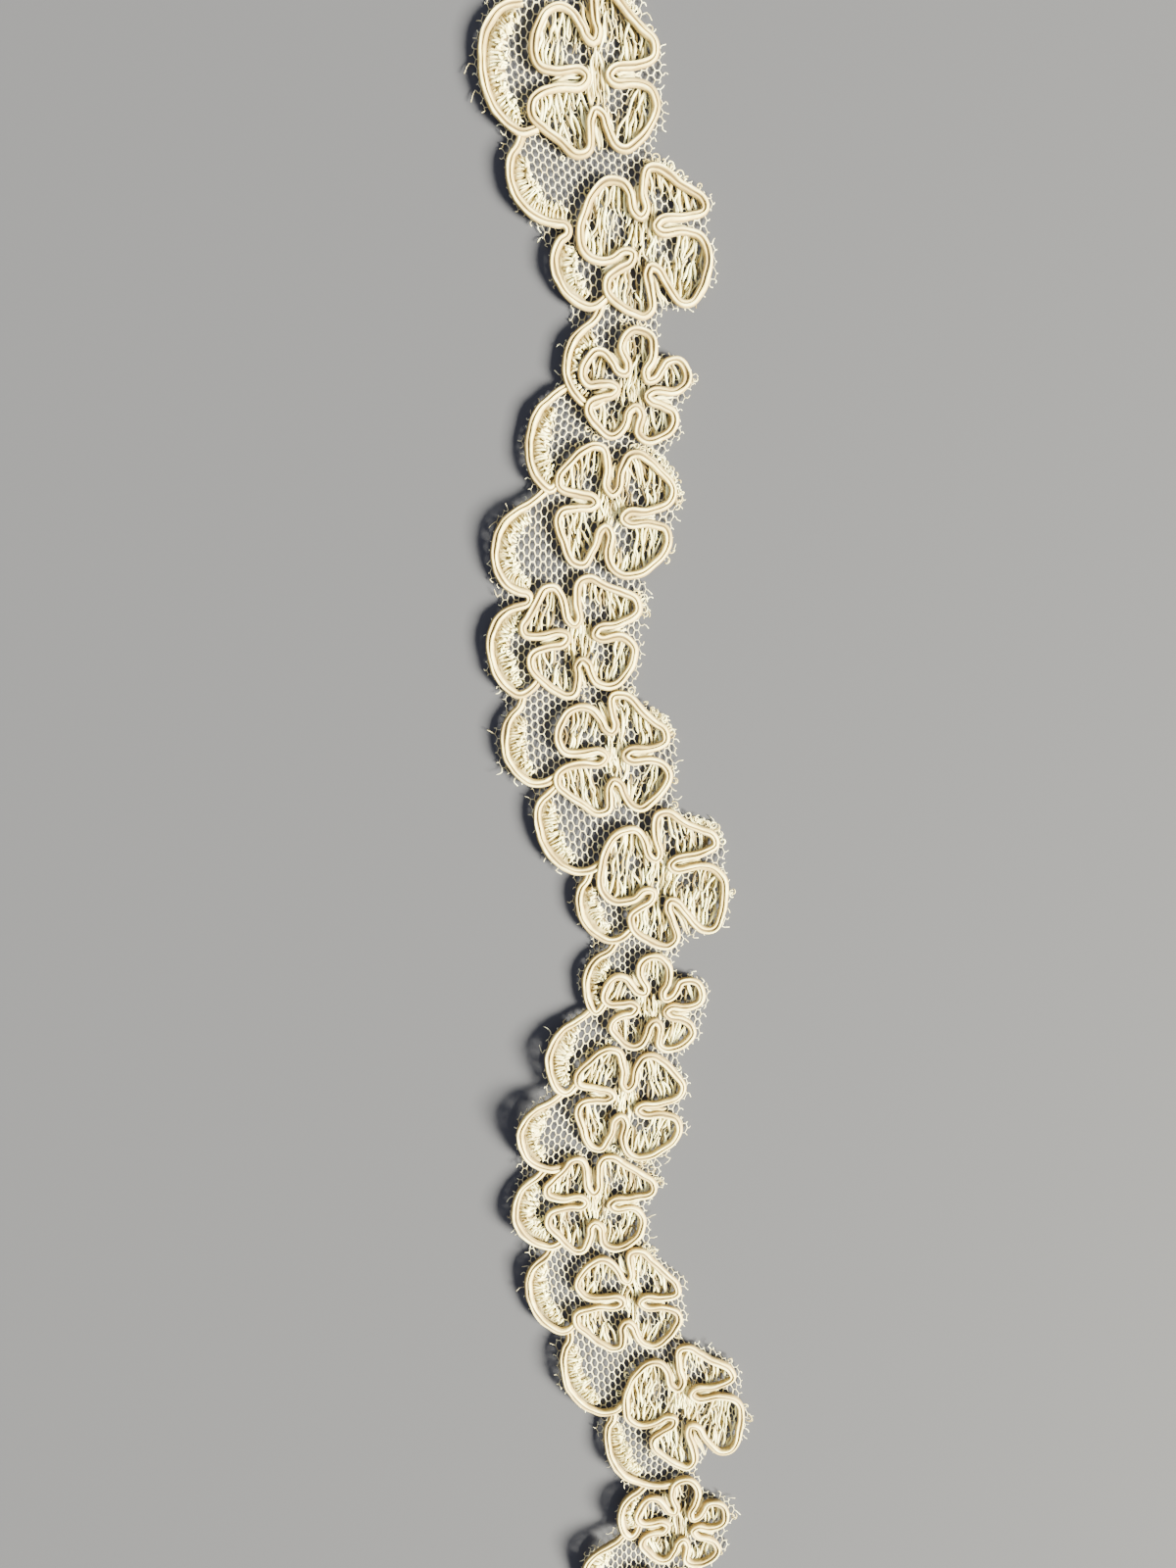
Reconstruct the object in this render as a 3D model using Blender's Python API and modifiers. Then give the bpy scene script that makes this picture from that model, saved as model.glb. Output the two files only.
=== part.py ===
"""Corded lace edging: a scalloped strip of cotton net, sewn with fourteen corded flowers.

The strip lies on a table. +Y runs along it, +X points from its scalloped edge to its
flower edge, and +Z is up, with the origin under the middle of the strip.
The ground is one cloth solid: the fine net, with the petals' filling threads in its
thickness. Its scalloped edge lifts a little off the table in a few places.
On it lie the cords: one closed cord round each flower, and one cord along each scallop.
"""
import math
from typing import NamedTuple

import bmesh
import bpy
import numpy as np

MM = 0.001

# Driving sizes, in millimetres
GROUND_THICKNESS = 1.0
CORD_WIDTH = 1.0
CORD_CLEARANCE = 0.42
CORD_SPACING = 1.4
NET_MARGIN = 1.2
END_TOP = 90.2
END_FOOT = -128.0
END_RUN = 5.0
BAY_WIDTH = 3.0

# How finely the solids are divided
GROUND_STATIONS = 135
GROUND_COLUMNS = 6
EDGE_STEP = 0.25
CURVE_SAMPLES = 10
TURN_PER_POINT = math.radians(48)
LENGTH_PER_POINT = 4.0

# Where a slit between two petals opens out, as a share of the petals' reach
SLIT_MOUTH = 0.62
# Where across a petal, from one slit to the next, its three reaches are measured
REACH_PLACES = (0.2, 0.5, 0.8)
# Where its edge is worked out, and how square its corners are
EDGE_PLACES = np.array([0.08, 0.2, 0.35, 0.5, 0.65, 0.8, 0.92])
EDGE_SQUARENESS = 4.0


class Petal(NamedTuple):
    """A slit, and the petal that follows it counter-clockwise: degrees and millimetres."""
    slit_turn: float
    slit_depth: float
    slit_heading: float
    slit_mouth: float
    reach_first: float
    reach_middle: float
    reach_last: float


class Flower(NamedTuple):
    """A flower's kind, its place on the strip, its turn in degrees and its two sizes."""
    kind: str
    x: float
    y: float
    turn: float
    size_across: float
    size_along: float


class Scallop(NamedTuple):
    """The upper end, the outermost point and the lower end of one scallop's cord."""
    top_x: float
    top_y: float
    belly_x: float
    belly_y: float
    foot_x: float
    foot_y: float


class Lift(NamedTuple):
    """A place where the strip rises off the table: centre, half lengths and height."""
    x: float
    y: float
    half_x: float
    half_y: float
    height: float


# The design's five flowers. The first petal is the upper one on the flower edge.
FLOWER_KINDS = {
    "kite": (
        Petal(-37, 1.9, 2, 1.5, 7.65, 7.25, 7.05),
        Petal(79, 1.65, 84, 1.8, 7.35, 7.05, 7.15),
        Petal(155, 1.65, 172, 1.5, 6.3, 6.6, 7.45),
        Petal(256, 2.05, 257, 1.9, 7.75, 8.1, 7.85),
    ),
    "cross": (
        Petal(0, 1.75, 6, 1.5, 8.0, 6.9, 6.95),
        Petal(105, 1.6, 96, 1.9, 6.9, 6.5, 7.05),
        Petal(170, 1.5, 187, 1.5, 6.9, 6.9, 7.25),
        Petal(270, 2.7, 271, 1.6, 6.7, 7.15, 6.8),
    ),
    "butterfly": (
        Petal(10, 1.3, 0, 1.5, 6.8, 6.4, 7.45),
        Petal(97, 3.2, 110, 1.7, 7.45, 8.0, 7.55),
        Petal(170, 1.2, 183, 1.5, 7.95, 7.05, 6.9),
        Petal(262, 2.7, 281, 2.1, 6.8, 7.05, 6.95),
    ),
    "tassel": (
        Petal(30, 1.1, 6, 1.6, 7.25, 6.4, 7.05),
        Petal(118, 1.7, 103, 1.8, 7.05, 7.65, 7.85),
        Petal(240, 3, 212, 1.5, 8.0, 8.8, 9.45),
        Petal(280, 3.8, 293, 2.2, 9.45, 8.5, 7.35),
    ),
    "star": (
        Petal(344, 1.8, 355, 1.9, 6.3, 6.7, 6.1),
        Petal(37, 2.1, 64, 1.6, 6.3, 6.95, 6.1),
        Petal(114, 2.2, 125, 1.6, 6.2, 6.4, 6.1),
        Petal(177, 1.8, 192, 1.5, 5.9, 5.9, 5.65),
        Petal(286, 1.9, 262, 1.7, 5.85, 6.4, 6.2),
    ),
}

FLOWERS = (
    Flower("butterfly", 1.1, 79.6, 1, 1.0, 1.2),
    Flower("tassel", 6.7, 63.7, -3, 0.97, 0.98),
    Flower("star", 5.2, 46.3, -4, 0.97, 0.98),
    Flower("kite", 2.6, 32.9, 1, 1.0, 1.02),
    Flower("cross", -1.0, 17.9, 6, 0.99, 1.02),
    Flower("butterfly", 3.4, 3.2, 2, 0.98, 1.04),
    Flower("tassel", 9.4, -11.0, 4, 1.01, 1.05),
    Flower("star", 8.1, -29.0, -1, 0.99, 0.99),
    Flower("kite", 4.8, -41.7, 1, 1.0, 1.02),
    Flower("cross", 1.1, -56.0, -3, 0.98, 1.0),
    Flower("butterfly", 5.7, -70.4, -1, 0.98, 1.02),
    Flower("tassel", 13.1, -84.6, 3, 1.02, 1.09),
    Flower("star", 12.8, -104.3, -3, 0.98, 1.05),
    Flower("kite", 10.0, -118.8, 1, 1.0, 1.0),
)

# From the top of the strip down to its foot
SCALLOPS = (
    Scallop(-8.0, 87.3, -11.85, 81.6, -6.0, 73.8),
    Scallop(-7.9, 72.4, -8.85, 70.0, -2.6, 64.4),
    Scallop(-2.6, 63.0, -3.85, 60.4, 1.2, 55.4),
    Scallop(1.6, 53.9, -2.55, 48.8, 1.0, 44.6),
    Scallop(-3.6, 45.5, -6.95, 39.6, -3.6, 34.9),
    Scallop(-5.4, 33.6, -11.15, 27.4, -7.2, 23.1),
    Scallop(-7.2, 21.7, -11.85, 17.1, -7.6, 10.8),
    Scallop(-7.9, 9.2, -10.25, 5.3, -6.0, 0.0),
    Scallop(-4.6, -1.4, -6.25, -4.0, -0.6, -11.2),
    Scallop(-0.2, -12.6, -1.15, -15.0, 4.0, -20.2),
    Scallop(3.4, -21.6, -0.3, -25.4, 1.2, -29.6),
    Scallop(-0.2, -30.6, -5.0, -36.0, -2.6, -40.3),
    Scallop(-3.6, -41.3, -8.75, -46.0, -5.2, -50.8),
    Scallop(-5.9, -52.2, -9.55, -57.0, -3.6, -62.2),
    Scallop(-5.0, -63.5, -7.95, -67.6, -2.2, -74.6),
    Scallop(-2.4, -76.0, -3.35, -78.6, 3.0, -86.8),
    Scallop(3.4, -88.0, 2.55, -90.2, 9.2, -97.6),
    Scallop(7.6, -98.6, 4.45, -102.0, 6.0, -105.4),
    Scallop(4.2, -106.4, -0.45, -111.4, 1.6, -115.8),
    Scallop(1.2, -117.0, -3.65, -121.6, 0.4, -126.0),
)

LIFTS = (
    Lift(-11.0, -40.0, 13.0, 15.0, 1.9),
    Lift(-12.0, -62.0, 9.0, 11.0, 1.0),
    Lift(-9.0, -82.0, 12.0, 11.0, 1.2),
    Lift(-2.0, -102.0, 12.0, 14.0, 2.0),
    Lift(-12.0, 34.0, 9.0, 10.0, 0.7),
)


def polar(turn, reach):
    """The points at these turns, in degrees, and reaches."""
    angle = np.radians(turn)
    return np.stack([reach * np.cos(angle), reach * np.sin(angle)], axis=-1)


def smooth_loop(points):
    """A closed curve through the points: a centripetal Catmull-Rom spline."""
    before, start = np.roll(points, 1, axis=0), points
    end, after = np.roll(points, -1, axis=0), np.roll(points, -2, axis=0)
    first = np.sqrt(np.linalg.norm(start - before, axis=1))[:, None]
    middle = np.sqrt(np.linalg.norm(end - start, axis=1))[:, None]
    last = np.sqrt(np.linalg.norm(after - end, axis=1))[:, None]
    slope_start = (start - before) / first - (end - before) / (first + middle)
    slope_start = middle * (slope_start + (end - start) / middle)
    slope_end = (end - start) / middle - (after - start) / (middle + last)
    slope_end = middle * (slope_end + (after - end) / last)
    share = (np.arange(CURVE_SAMPLES) / CURVE_SAMPLES)[:, None, None]
    curve = ((2 * share**3 - 3 * share**2 + 1) * start + (share**3 - 2 * share**2 + share) * slope_start
             + (3 * share**2 - 2 * share**3) * end + (share**3 - share**2) * slope_end)
    return curve.transpose(1, 0, 2).reshape(-1, 2)


def slit_points(petal, reach):
    """The five points of a slit, in along one side of it, round its end and out again."""
    inner = polar(petal.slit_turn, petal.slit_depth)
    along = polar(petal.slit_heading, 1.0)
    side = np.array([-along[1], along[0]])
    throat = inner + along * CORD_SPACING / 2
    mouth = inner + along * (SLIT_MOUTH * reach - along @ inner)
    half_throat = side * CORD_SPACING / 2
    half_mouth = side * (CORD_SPACING + SLIT_MOUTH * (petal.slit_mouth - CORD_SPACING)) / 2
    return [mouth - half_mouth, throat - half_throat, inner, throat + half_throat, mouth + half_mouth]


def slit_edge_turn(petal, reach, side):
    """The turn at which one side of a slit reaches the petals' edge, in degrees."""
    inner = polar(petal.slit_turn, petal.slit_depth)
    along = polar(petal.slit_heading, 1.0)
    across = np.array([-along[1], along[0]]) * petal.slit_mouth / 2
    edge = inner + along * (reach - along @ inner) + side * across
    return math.degrees(math.atan2(edge[1], edge[0]))


def corner_share(place):
    """How far a petal's corners pull its reach in: a superellipse from slit to slit."""
    return (1 - np.abs(2 * np.asarray(place) - 1) ** EDGE_SQUARENESS) ** (1 / EDGE_SQUARENESS)


def petal_edge(petal, start, span):
    """A petal's outer edge: a quadratic through its three reaches, times the corners' share."""
    reaches = np.array([petal.reach_first, petal.reach_middle, petal.reach_last])
    sweep = np.polyfit(REACH_PLACES, reaches / corner_share(REACH_PLACES), 2)
    steady = np.clip(EDGE_PLACES, REACH_PLACES[0] / 2, 1 - REACH_PLACES[0] / 2)
    return polar(start + span * EDGE_PLACES, np.polyval(sweep, steady) * corner_share(EDGE_PLACES))


def flower_outline(flower):
    """The middle line of a flower's cord: out round each petal and in along each slit."""
    petals = FLOWER_KINDS[flower.kind]
    points = []
    for index, petal in enumerate(petals):
        following = petals[(index + 1) % len(petals)]
        start = slit_edge_turn(petal, petal.reach_first, 1)
        span = (slit_edge_turn(following, petal.reach_last, -1) - start) % 360
        points += slit_points(petal, petal.reach_first)
        points += list(petal_edge(petal, start, span))
    angle = math.radians(flower.turn)
    turn = np.array([[math.cos(angle), math.sin(angle)], [-math.sin(angle), math.cos(angle)]])
    size = np.array([flower.size_across, flower.size_along])
    return smooth_loop(np.array(points) @ turn * size + [flower.x, flower.y])


def scallop_path(scallop):
    """The middle line of a scallop's cord: two quarter ellipses that meet at its belly."""
    angle = np.linspace(0, math.pi / 2, CURVE_SAMPLES * 3)
    upper = np.stack([
        scallop.belly_x + (scallop.top_x - scallop.belly_x) * (1 - np.cos(angle)),
        scallop.belly_y + (scallop.top_y - scallop.belly_y) * np.sin(angle),
    ], axis=1)
    lower = np.stack([
        scallop.belly_x + (scallop.foot_x - scallop.belly_x) * (1 - np.cos(angle)),
        scallop.belly_y + (scallop.foot_y - scallop.belly_y) * np.sin(angle),
    ], axis=1)
    return np.concatenate([upper[::-1], lower[1:]])


def clear_stretch(path, neighbours):
    """The longest stretch of a path that stays one cord spacing clear of its neighbours."""
    gaps = np.linalg.norm(path[:, None] - neighbours[None], axis=2).min(axis=1)
    best, start = (0, 0), None
    for index, is_clear in enumerate(np.append(gaps >= CORD_SPACING, False)):
        if is_clear and start is None:
            start = index
        if not is_clear and start is not None:
            best = max(best, (start, index), key=lambda span: span[1] - span[0])
            start = None
    return path[best[0]:best[1]]


def thinned(path, closed):
    """Fewer points on the same path: more of them where it turns, fewer where it is straight."""
    steps = np.diff(path, axis=0)
    heading = np.unwrap(np.arctan2(steps[:, 1], steps[:, 0]))
    kept, turned, length = [0], 0.0, 0.0
    for index in range(1, len(path) - 1):
        turned += abs(heading[index] - heading[index - 1])
        length += math.hypot(*steps[index - 1])
        if turned / TURN_PER_POINT + length / LENGTH_PER_POINT >= 1:
            kept.append(index)
            turned, length = 0.0, 0.0
    if not closed:
        kept.append(len(path) - 1)
    return path[kept]


def closed_bays(edge):
    """An edge whose bays narrower than the bay width are filled up to their mouths."""
    reach = round(BAY_WIDTH / EDGE_STEP / 2)
    padded = np.pad(edge, 2 * reach, mode="edge")
    windows = np.lib.stride_tricks.sliding_window_view(padded, 2 * reach + 1)
    return np.lib.stride_tricks.sliding_window_view(windows.max(axis=1), 2 * reach + 1).min(axis=1)


def strip_edges(flowers, scallops):
    """The heights along the strip, and where its scalloped and its flower edge lie there."""
    along = np.arange(END_FOOT, END_TOP + EDGE_STEP / 2, EDGE_STEP)
    outlines = np.concatenate(flowers + scallops)
    place = np.clip(np.round((outlines[:, 1] - END_FOOT) / EDGE_STEP).astype(int), 0, len(along) - 1)
    near, far = np.full(len(along), np.inf), np.full(len(along), -np.inf)
    np.minimum.at(near, place, outlines[:, 0])
    np.maximum.at(far, place, outlines[:, 0])
    run = round(END_RUN / EDGE_STEP)
    for end in (slice(0, run), slice(len(along) - run, None)):
        near[end], far[end] = near[end].min(), far[end].max()
    near, far = -closed_bays(-near) - NET_MARGIN, closed_bays(far) + NET_MARGIN
    kernel = np.ones(5) / 5
    near, far = (np.convolve(np.pad(edge, 2, mode="edge"), kernel, "valid") for edge in (near, far))
    return along, near, far


def lift_height(x, y):
    """How far the strip's underside is off the table: a cosine hump for each lift."""
    height = np.zeros(np.broadcast(x, y).shape)
    for lift in LIFTS:
        across = np.clip(np.abs(x - lift.x) / lift.half_x, 0, 1)
        along = np.clip(np.abs(y - lift.y) / lift.half_y, 0, 1)
        hump = np.cos(across * math.pi / 2) ** 2 * np.cos(along * math.pi / 2) ** 2
        height = np.maximum(height, lift.height * hump)
    return height


def cotton(name, colour, roughness):
    """A matt cotton material."""
    material = bpy.data.materials.new(name)
    material.use_nodes = True
    shader = material.node_tree.nodes["Principled BSDF"]
    shader.inputs["Base Color"].default_value = (*colour, 1.0)
    shader.inputs["Roughness"].default_value = roughness
    shader.inputs["Metallic"].default_value = 0.0
    return material


def place_in(collection, obj, parent, material):
    """Give an object its collection, its parent and its material."""
    collection.objects.link(obj)
    obj.parent = parent
    obj.data.materials.append(material)


def make_ground(edges, centre):
    """The cloth: a grid between the strip's two edges, with its thickness laid on top."""
    along, near, far = edges
    bm = bmesh.new()
    bmesh.ops.create_grid(bm, x_segments=GROUND_COLUMNS, y_segments=GROUND_STATIONS, size=0.5)
    for vertex in bm.verts:
        y = END_FOOT + (vertex.co.y + 0.5) * (END_TOP - END_FOOT)
        start, end = np.interp(y, along, near), np.interp(y, along, far)
        x = start + (vertex.co.x + 0.5) * (end - start)
        vertex.co = ((x - centre[0]) * MM, (y - centre[1]) * MM, float(lift_height(x, y)) * MM)
    mesh = bpy.data.meshes.new("lace_ground")
    bm.to_mesh(mesh)
    bm.free()
    ground = bpy.data.objects.new("lace_ground", mesh)
    thickness = ground.modifiers.new("cloth", "SOLIDIFY")
    thickness.thickness = GROUND_THICKNESS * MM
    thickness.offset = 1.0
    return ground


def make_cord(name, path, closed, middle, centre):
    """A cord that follows a path just above the cloth, with its origin at its middle."""
    curve = bpy.data.curves.new(name, "CURVE")
    curve.dimensions = "3D"
    curve.twist_mode = "Z_UP"
    curve.bevel_depth = CORD_WIDTH / 2 * MM
    curve.bevel_resolution = 0
    curve.use_fill_caps = not closed
    points = thinned(path, closed)
    height = lift_height(points[:, 0], points[:, 1])
    height += GROUND_THICKNESS + CORD_CLEARANCE + CORD_WIDTH / 2
    spline = curve.splines.new("POLY")
    spline.points.add(len(points) - 1)
    spline.use_cyclic_u = closed
    for point, (x, y), z in zip(spline.points, points, height):
        point.co = ((x - middle[0]) * MM, (y - middle[1]) * MM, z * MM, 1.0)
    cord = bpy.data.objects.new(name, curve)
    cord.location = ((middle[0] - centre[0]) * MM, (middle[1] - centre[1]) * MM, 0.0)
    return cord


def main():
    for obj in list(bpy.data.objects):
        bpy.data.objects.remove(obj, do_unlink=True)

    outlines = [flower_outline(flower) for flower in FLOWERS]
    scallops = [scallop_path(scallop) for scallop in SCALLOPS]
    edges = strip_edges(outlines, scallops)
    along, near, far = edges
    centre = ((near.min() + far.max()) / 2, (along[0] + along[-1]) / 2)

    collection = bpy.data.collections.new("corded lace edging")
    bpy.context.scene.collection.children.link(collection)
    strip = bpy.data.objects.new("strip", None)
    collection.objects.link(strip)
    net = cotton("cotton net", (0.76, 0.70, 0.60), 0.85)
    cord = cotton("cotton cord", (0.80, 0.73, 0.57), 0.65)

    place_in(collection, make_ground(edges, centre), strip, net)
    for number, (flower, outline) in enumerate(zip(FLOWERS, outlines), start=1):
        name = f"flower_cord_{number:02d}"
        place_in(collection, make_cord(name, outline, True, (flower.x, flower.y), centre), strip, cord)

    laid = np.concatenate(outlines)
    for number, path in enumerate(scallops, start=1):
        stretch = clear_stretch(path, laid)
        laid = np.concatenate([laid, stretch])
        name = f"scallop_cord_{number:02d}"
        place_in(collection, make_cord(name, stretch, False, stretch.mean(axis=0), centre), strip, cord)


main()
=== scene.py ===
# %% [markdown]
# # Corded lace edging
#
# A cut length of cotton lace lies on a table: a fine net, flowers and scallops outlined with
# cord, and soft filling threads inside the petals. The CAD model gives the strip's outline,
# its cords' courses and its small lifts off the table. This script dresses it with the net's
# real cells, the loose threads and the plied cords, each worked out from the same few tables.

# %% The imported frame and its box
import math
from typing import NamedTuple

import bpy
import numpy as np
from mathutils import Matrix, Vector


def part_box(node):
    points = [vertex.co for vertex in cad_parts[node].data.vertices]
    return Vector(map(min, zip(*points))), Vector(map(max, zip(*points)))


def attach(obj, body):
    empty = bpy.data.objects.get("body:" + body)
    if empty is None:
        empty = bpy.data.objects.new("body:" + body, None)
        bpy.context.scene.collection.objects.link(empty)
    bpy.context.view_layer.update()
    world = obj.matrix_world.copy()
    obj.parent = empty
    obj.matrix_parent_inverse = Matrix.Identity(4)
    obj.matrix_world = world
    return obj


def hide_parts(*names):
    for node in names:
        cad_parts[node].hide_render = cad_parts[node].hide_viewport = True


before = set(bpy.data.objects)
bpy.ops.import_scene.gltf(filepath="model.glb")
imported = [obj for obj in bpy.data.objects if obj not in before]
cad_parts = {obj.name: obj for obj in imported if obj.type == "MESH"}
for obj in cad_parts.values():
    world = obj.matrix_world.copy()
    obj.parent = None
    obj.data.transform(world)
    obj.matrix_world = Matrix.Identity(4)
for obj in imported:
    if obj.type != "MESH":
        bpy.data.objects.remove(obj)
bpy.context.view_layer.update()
MM = 0.001

# %% [markdown]
# ## The pattern
#
# A corded edging repeats a handful of flowers. Each flower is a ring of petals parted by
# slits, and one cord runs round every petal and in and out of every slit. A row for each slit
# and its petal is enough to draw that cord, and a row for each flower and scallop places it.
# All lengths are in millimetres, with +Y along the strip, and the tables are the CAD model's.

# %% The flowers' petals
class Petal(NamedTuple):
    """A slit, and the petal that follows it counter-clockwise: degrees and millimetres."""
    slit_turn: float
    slit_depth: float
    slit_heading: float
    slit_mouth: float
    reach_first: float
    reach_middle: float
    reach_last: float


FLOWER_KINDS = {
    "kite": (
        Petal(-37, 1.9, 2, 1.5, 7.65, 7.25, 7.05),
        Petal(79, 1.65, 84, 1.8, 7.35, 7.05, 7.15),
        Petal(155, 1.65, 172, 1.5, 6.3, 6.6, 7.45),
        Petal(256, 2.05, 257, 1.9, 7.75, 8.1, 7.85),
    ),
    "cross": (
        Petal(0, 1.75, 6, 1.5, 8.0, 6.9, 6.95),
        Petal(105, 1.6, 96, 1.9, 6.9, 6.5, 7.05),
        Petal(170, 1.5, 187, 1.5, 6.9, 6.9, 7.25),
        Petal(270, 2.7, 271, 1.6, 6.7, 7.15, 6.8),
    ),
    "butterfly": (
        Petal(10, 1.3, 0, 1.5, 6.8, 6.4, 7.45),
        Petal(97, 3.2, 110, 1.7, 7.45, 8.0, 7.55),
        Petal(170, 1.2, 183, 1.5, 7.95, 7.05, 6.9),
        Petal(262, 2.7, 281, 2.1, 6.8, 7.05, 6.95),
    ),
    "tassel": (
        Petal(30, 1.1, 6, 1.6, 7.25, 6.4, 7.05),
        Petal(118, 1.7, 103, 1.8, 7.05, 7.65, 7.85),
        Petal(240, 3, 212, 1.5, 8.0, 8.8, 9.45),
        Petal(280, 3.8, 293, 2.2, 9.45, 8.5, 7.35),
    ),
    "star": (
        Petal(344, 1.8, 355, 1.9, 6.3, 6.7, 6.1),
        Petal(37, 2.1, 64, 1.6, 6.3, 6.95, 6.1),
        Petal(114, 2.2, 125, 1.6, 6.2, 6.4, 6.1),
        Petal(177, 1.8, 192, 1.5, 5.9, 5.9, 5.65),
        Petal(286, 1.9, 262, 1.7, 5.85, 6.4, 6.2),
    ),
}
print(len(FLOWER_KINDS), "kinds of flower,", sum(map(len, FLOWER_KINDS.values())), "petals")

# %% Where the flowers and scallops lie
class Flower(NamedTuple):
    """A flower's kind, its place on the strip, its turn in degrees and its two sizes."""
    kind: str
    x: float
    y: float
    turn: float
    size_across: float
    size_along: float


class Scallop(NamedTuple):
    """The upper end, the outermost point and the lower end of one scallop's cord."""
    top_x: float
    top_y: float
    belly_x: float
    belly_y: float
    foot_x: float
    foot_y: float


class Lift(NamedTuple):
    """A place where the strip rises off the table: centre, half lengths and height."""
    x: float
    y: float
    half_x: float
    half_y: float
    height: float


FLOWERS = (
    Flower("butterfly", 1.1, 79.6, 1, 1.0, 1.2),
    Flower("tassel", 6.7, 63.7, -3, 0.97, 0.98),
    Flower("star", 5.2, 46.3, -4, 0.97, 0.98),
    Flower("kite", 2.6, 32.9, 1, 1.0, 1.02),
    Flower("cross", -1.0, 17.9, 6, 0.99, 1.02),
    Flower("butterfly", 3.4, 3.2, 2, 0.98, 1.04),
    Flower("tassel", 9.4, -11.0, 4, 1.01, 1.05),
    Flower("star", 8.1, -29.0, -1, 0.99, 0.99),
    Flower("kite", 4.8, -41.7, 1, 1.0, 1.02),
    Flower("cross", 1.1, -56.0, -3, 0.98, 1.0),
    Flower("butterfly", 5.7, -70.4, -1, 0.98, 1.02),
    Flower("tassel", 13.1, -84.6, 3, 1.02, 1.09),
    Flower("star", 12.8, -104.3, -3, 0.98, 1.05),
    Flower("kite", 10.0, -118.8, 1, 1.0, 1.0),
)
SCALLOPS = (
    Scallop(-8.0, 87.3, -11.85, 81.6, -6.0, 73.8),
    Scallop(-7.9, 72.4, -8.85, 70.0, -2.6, 64.4),
    Scallop(-2.6, 63.0, -3.85, 60.4, 1.2, 55.4),
    Scallop(1.6, 53.9, -2.55, 48.8, 1.0, 44.6),
    Scallop(-3.6, 45.5, -6.95, 39.6, -3.6, 34.9),
    Scallop(-5.4, 33.6, -11.15, 27.4, -7.2, 23.1),
    Scallop(-7.2, 21.7, -11.85, 17.1, -7.6, 10.8),
    Scallop(-7.9, 9.2, -10.25, 5.3, -6.0, 0.0),
    Scallop(-4.6, -1.4, -6.25, -4.0, -0.6, -11.2),
    Scallop(-0.2, -12.6, -1.15, -15.0, 4.0, -20.2),
    Scallop(3.4, -21.6, -0.3, -25.4, 1.2, -29.6),
    Scallop(-0.2, -30.6, -5.0, -36.0, -2.6, -40.3),
    Scallop(-3.6, -41.3, -8.75, -46.0, -5.2, -50.8),
    Scallop(-5.9, -52.2, -9.55, -57.0, -3.6, -62.2),
    Scallop(-5.0, -63.5, -7.95, -67.6, -2.2, -74.6),
    Scallop(-2.4, -76.0, -3.35, -78.6, 3.0, -86.8),
    Scallop(3.4, -88.0, 2.55, -90.2, 9.2, -97.6),
    Scallop(7.6, -98.6, 4.45, -102.0, 6.0, -105.4),
    Scallop(4.2, -106.4, -0.45, -111.4, 1.6, -115.8),
    Scallop(1.2, -117.0, -3.65, -121.6, 0.4, -126.0),
)
LIFTS = (
    Lift(-11.0, -40.0, 13.0, 15.0, 1.9),
    Lift(-12.0, -62.0, 9.0, 11.0, 1.0),
    Lift(-9.0, -82.0, 12.0, 11.0, 1.2),
    Lift(-2.0, -102.0, 12.0, 14.0, 2.0),
    Lift(-12.0, 34.0, 9.0, 10.0, 0.7),
)
print(len(FLOWERS), "flowers,", len(SCALLOPS), "scallops,", len(LIFTS), "lifts")

# %% [markdown]
# The cord's course round a flower is a smooth closed curve through a few worked-out points:
# five for each slit, which is a narrow hairpin, and seven for each petal's outer edge. The
# outer edge bulges as a quadratic through three reaches, and a superellipse rounds its corners.

# %% The cords' courses
CORD_SPACING = 1.4
SLIT_MOUTH = 0.62
CURVE_SAMPLES = 10
REACH_PLACES = (0.2, 0.5, 0.8)
EDGE_PLACES = np.array([0.08, 0.2, 0.35, 0.5, 0.65, 0.8, 0.92])
EDGE_SQUARENESS = 4.0
POINTS_PER_PETAL = 5 + len(EDGE_PLACES)


def polar(turn, reach):
    """The points at these turns, in degrees, and reaches."""
    angle = np.radians(turn)
    return np.stack([reach * np.cos(angle), reach * np.sin(angle)], axis=-1)


def smooth_loop(points):
    """A closed curve through the points: a centripetal Catmull-Rom spline."""
    before, start = np.roll(points, 1, axis=0), points
    end, after = np.roll(points, -1, axis=0), np.roll(points, -2, axis=0)
    first = np.sqrt(np.linalg.norm(start - before, axis=1))[:, None]
    middle = np.sqrt(np.linalg.norm(end - start, axis=1))[:, None]
    last = np.sqrt(np.linalg.norm(after - end, axis=1))[:, None]
    slope_start = (start - before) / first - (end - before) / (first + middle)
    slope_start = middle * (slope_start + (end - start) / middle)
    slope_end = (end - start) / middle - (after - start) / (middle + last)
    slope_end = middle * (slope_end + (after - end) / last)
    share = (np.arange(CURVE_SAMPLES) / CURVE_SAMPLES)[:, None, None]
    curve = ((2 * share**3 - 3 * share**2 + 1) * start + (share**3 - 2 * share**2 + share) * slope_start
             + (3 * share**2 - 2 * share**3) * end + (share**3 - share**2) * slope_end)
    return curve.transpose(1, 0, 2).reshape(-1, 2)


def slit_axes(petal):
    """A slit's inner end, the way out along it and the way to its left."""
    along = polar(petal.slit_heading, 1.0)
    return polar(petal.slit_turn, petal.slit_depth), along, np.array([-along[1], along[0]])


def slit_points(petal, reach):
    """The five points of a slit, in along one side of it, round its end and out again."""
    inner, along, side = slit_axes(petal)
    throat = inner + along * CORD_SPACING / 2
    mouth = inner + along * (SLIT_MOUTH * reach - along @ inner)
    half_throat = side * CORD_SPACING / 2
    half_mouth = side * (CORD_SPACING + SLIT_MOUTH * (petal.slit_mouth - CORD_SPACING)) / 2
    return [mouth - half_mouth, throat - half_throat, inner, throat + half_throat, mouth + half_mouth]


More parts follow.
